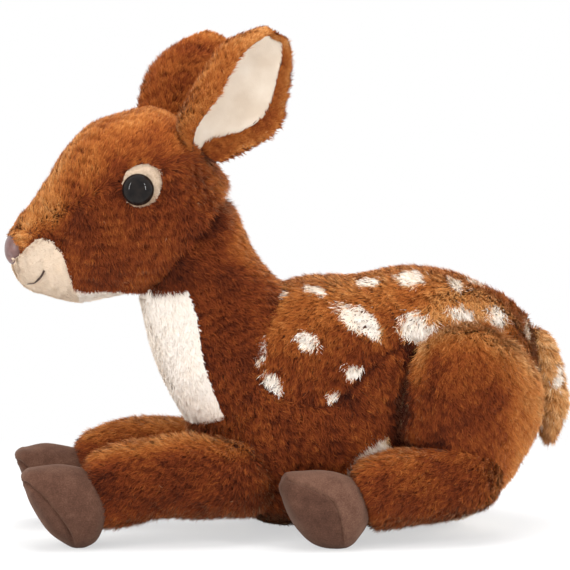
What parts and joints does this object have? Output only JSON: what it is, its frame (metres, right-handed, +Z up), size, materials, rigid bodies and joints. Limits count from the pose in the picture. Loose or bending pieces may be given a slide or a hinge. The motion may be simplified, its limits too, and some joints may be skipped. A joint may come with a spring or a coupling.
{
  "type": "plush deer",
  "caption": "Plush spotted fawn lying on its belly with its head up, stuffed limbs, cupped ears, safety eyes and suede hooves.",
  "frame": {"origin": "middle of the toy's bounding box, on the surface that it lies on", "axes": "-X is the way that the fawn faces, +X towards its tail; -Y is its left side; +Z up"},
  "size_m": [0.334, 0.1648, 0.298],
  "materials": {
    "brown_plush": "rust brown pile fabric, about 8 mm pile",
    "spotted_plush": "rust brown pile fabric with printed cream spots",
    "cream_plush": "short cream pile fabric",
    "suede": "matt grey-brown suede cloth",
    "velour": "cream velour",
    "black_gloss": "polished black",
    "brown_plastic": "satin plum brown",
    "thread": "dark embroidery thread",
    "white_plastic": "plain moulded",
    "fibre": "loose polyester fibre",
    "lawn": "thin woven cotton"
  },
  "bodies": {
    "trunk": {"body_skin": "brown_plush", "saddle_panel": "spotted_plush", "belly_panel": "cream_plush", "body_filling": "fibre", "pellet_pouch": "lawn", "neck": "brown_plush", "chest_bib": "cream_plush"},
    "head": {"head_skin": "brown_plush", "head_filling": "fibre", "muzzle": "cream_plush", "chin_panel": "cream_plush", "eye_patch_left": "cream_plush", "eye_patch_right": "cream_plush", "eye_left": "black_gloss", "eye_right": "black_gloss", "eye_washer_left": "white_plastic", "eye_washer_right": "white_plastic", "nose": "brown_plastic", "nose_washer": "white_plastic", "mouth_thread": "thread"},
    "left_ear": {"ear_left": "brown_plush", "ear_lining_left": "velour"},
    "right_ear": {"ear_right": "brown_plush", "ear_lining_right": "velour"},
    "left_foreleg": {"foreleg_left": "brown_plush", "fore_hoof_left": "suede"},
    "right_foreleg": {"foreleg_right": "brown_plush", "fore_hoof_right": "suede"},
    "left_hindleg": {"thigh_left": "brown_plush", "shank_left": "brown_plush", "hind_hoof_left": "suede"},
    "right_hindleg": {"thigh_right": "brown_plush", "shank_right": "brown_plush", "hind_hoof_right": "suede"},
    "scut": {"tail": "spotted_plush", "tail_lining": "cream_plush"}
  },
  "joints": [
    {"name": "head_turn", "type": "hinge", "parent": "trunk", "child": "head", "pos_m": [-0.06361, 0, 0.17179], "axis": [-0.7909, 0, 0.612], "range_deg": [-15, 15], "stiffness_Nm_per_rad": 0.9},
    {"name": "left_ear_flop", "type": "hinge", "parent": "head", "child": "left_ear", "pos_m": [-0.05733, -0.03115, 0.21745], "axis": [0.887, 0, -0.4618], "range_deg": [0, 30], "stiffness_Nm_per_rad": 0.08},
    {"name": "right_ear_flop", "type": "hinge", "parent": "head", "child": "right_ear", "pos_m": [-0.07376, 0.03115, 0.21128], "axis": [-0.9336, 0, 0.3584], "range_deg": [0, 30], "stiffness_Nm_per_rad": 0.08},
    {"name": "left_foreleg_lift", "type": "hinge", "parent": "trunk", "child": "left_foreleg", "pos_m": [-0.03988, -0.037, 0.06361], "axis": [0, 1, 0], "range_deg": [0, 15], "stiffness_Nm_per_rad": 0.6},
    {"name": "right_foreleg_lift", "type": "hinge", "parent": "trunk", "child": "right_foreleg", "pos_m": [-0.03988, 0.037, 0.06361], "axis": [0, 1, 0], "range_deg": [0, 15], "stiffness_Nm_per_rad": 0.6},
    {"name": "left_hindleg_splay", "type": "hinge", "parent": "trunk", "child": "left_hindleg", "pos_m": [0.09744, -0.04263, 0.12994], "axis": [-1, 0, 0], "range_deg": [0, 20], "stiffness_Nm_per_rad": 0.8},
    {"name": "right_hindleg_splay", "type": "hinge", "parent": "trunk", "child": "right_hindleg", "pos_m": [0.09744, 0.04263, 0.12994], "axis": [1, 0, 0], "range_deg": [0, 20], "stiffness_Nm_per_rad": 0.8},
    {"name": "tail_lift", "type": "hinge", "parent": "trunk", "child": "scut", "pos_m": [0.14718, 0, 0.11938], "axis": [0, -1, 0], "range_deg": [0, 50], "stiffness_Nm_per_rad": 0.06}
  ]
}
